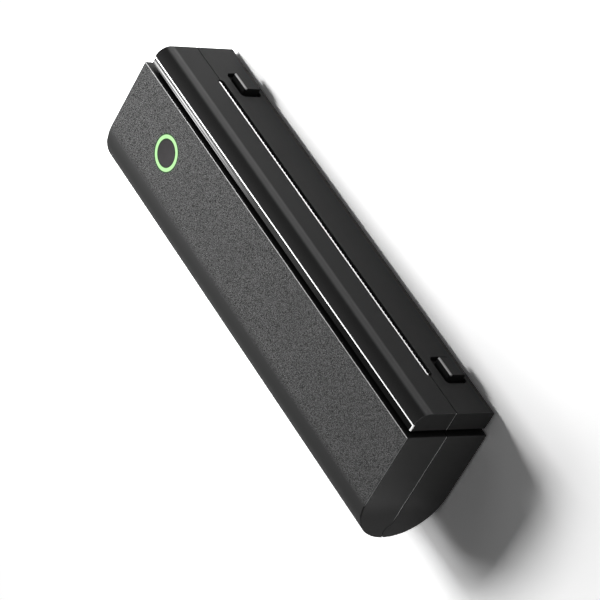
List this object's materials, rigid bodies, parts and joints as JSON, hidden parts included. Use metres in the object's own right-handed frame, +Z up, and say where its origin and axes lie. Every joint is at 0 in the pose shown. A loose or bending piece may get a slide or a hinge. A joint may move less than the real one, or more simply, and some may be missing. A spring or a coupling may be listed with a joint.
{
  "type": "a4 portable thermal printer",
  "caption": "Long low printer for A4 paper rolls: round back, hinged grained top, front head with a paper slot, push tabs and a lit power button.",
  "frame": {"origin": "middle of the whole printer's footprint, on the table under its feet", "axes": "+X along the printer towards the power button, +Y towards the round back and its hinge, +Z up"},
  "size_m": [0.27, 0.0842, 0.0508],
  "materials": {
    "casing": "fine leather grain on the outside",
    "fascia": "fine matte",
    "trim": "gloss",
    "tab": "satin",
    "cap": "gloss",
    "ring": "lit, translucent",
    "steel": "satin",
    "spring_steel": "drawn wire",
    "screw": "zinc plated",
    "blade": "polished edge",
    "motor_can": "plated",
    "pinion_brass": "machined",
    "gear_white": "moulded",
    "roller_rubber": "ground",
    "foot_rubber": "moulded",
    "inner_black": "moulded",
    "heat_sink": "extruded",
    "ceramic_plate": "glazed",
    "connector": "moulded",
    "cell_wrap": "shrink wrap",
    "board": "solder mask",
    "chips": "moulded",
    "socket_steel": "plated",
    "ribbon": "flat film"
  },
  "bodies": {
    "base": {"base_shell": "casing", "lower_fascia": "fascia", "side_plate_left": "steel", "side_plate_right": "steel", "motor_bracket": "steel", "motor": "motor_can", "motor_screws": "screw", "idler_pin": "steel", "head_pivot_pins": "steel", "head_springs": "spring_steel", "paper_tray": "inner_black", "battery_cells": "cell_wrap", "battery_cradle": "inner_black", "main_board": "board", "board_parts": "chips", "charge_board": "board", "charge_socket": "socket_steel", "head_cable": "ribbon", "paper_sensor": "inner_black", "latch_spring_left": "spring_steel", "latch_spring_right": "spring_steel", "hinge_pins": "steel", "rubber_feet": "foot_rubber", "chassis_screws": "screw", "board_screws": "screw", "lower_fascia_screws": "screw", "cover_sensor": "inner_black"},
    "cover": {"cover_shell": "casing", "upper_fascia": "fascia", "top_trim": "trim", "tear_bar": "blade", "upper_guide": "inner_black", "bracket_left": "inner_black", "bracket_right": "inner_black", "platen_bushings": "gear_white", "light_ring": "ring", "button_board": "board", "button_switch": "chips", "bracket_screws": "screw", "upper_fascia_screws": "screw", "button_screws": "screw"},
    "platen": {"platen_roller": "roller_rubber", "platen_shaft": "steel", "platen_gear": "gear_white"},
    "power_button": {"button_cap": "cap"},
    "latch_left": {"latch_left": "tab"},
    "latch_right": {"latch_right": "tab"},
    "print_head": {"head_heatsink": "heat_sink", "heater_plate": "ceramic_plate", "head_connector": "connector"},
    "idler": {"idler_gear": "gear_white"},
    "rotor": {"motor_shaft": "steel", "motor_pinion": "pinion_brass"}
  },
  "joints": [
    {"name": "cover_hinge", "type": "hinge", "parent": "base", "child": "cover", "pos_m": [0, 0.0395, 0.0258], "axis": [-1, 0, 0], "range_deg": [0, 80]},
    {"name": "latch_left_press", "type": "slide", "parent": "base", "child": "latch_left", "axis": [0, 1, 0], "range_m": [0, 0.0022], "stiffness_N_per_m": 900, "springref_m": -0.002, "deforming": ["latch_spring_left"]},
    {"name": "latch_right_press", "type": "slide", "parent": "base", "child": "latch_right", "axis": [0, 1, 0], "range_m": [0, 0.0022], "stiffness_N_per_m": 900, "springref_m": -0.002, "deforming": ["latch_spring_right"]},
    {"name": "power_press", "type": "slide", "parent": "cover", "child": "power_button", "axis": [0, 0, -1], "range_m": [0, 0.0007], "stiffness_N_per_m": 1500, "springref_m": -0.0003},
    {"name": "platen_spin", "type": "hinge", "parent": "cover", "child": "platen", "pos_m": [0, -0.0239, 0.0305], "axis": [1, 0, 0], "continuous": true},
    {"name": "idler_spin", "type": "hinge", "parent": "base", "child": "idler", "pos_m": [-0.1185, -0.02492, 0.01674], "axis": [1, 0, 0], "continuous": true},
    {"name": "motor_spin", "type": "hinge", "parent": "base", "child": "rotor", "pos_m": [-0.105, -0.01627, 0.01133], "axis": [1, 0, 0], "continuous": true},
    {"name": "head_rock", "type": "hinge", "parent": "base", "child": "print_head", "pos_m": [0, -0.0129, 0.021], "axis": [1, 0, 0], "range_deg": [-0.8, 2], "stiffness_Nm_per_rad": 0.6, "springref_deg": -0.57, "deforming": ["head_springs"]}
  ],
  "couplings": [
    {"joint": "idler_spin", "follows": "platen_spin", "ratio": -1.0909},
    {"joint": "motor_spin", "follows": "platen_spin", "ratio": 2}
  ]
}
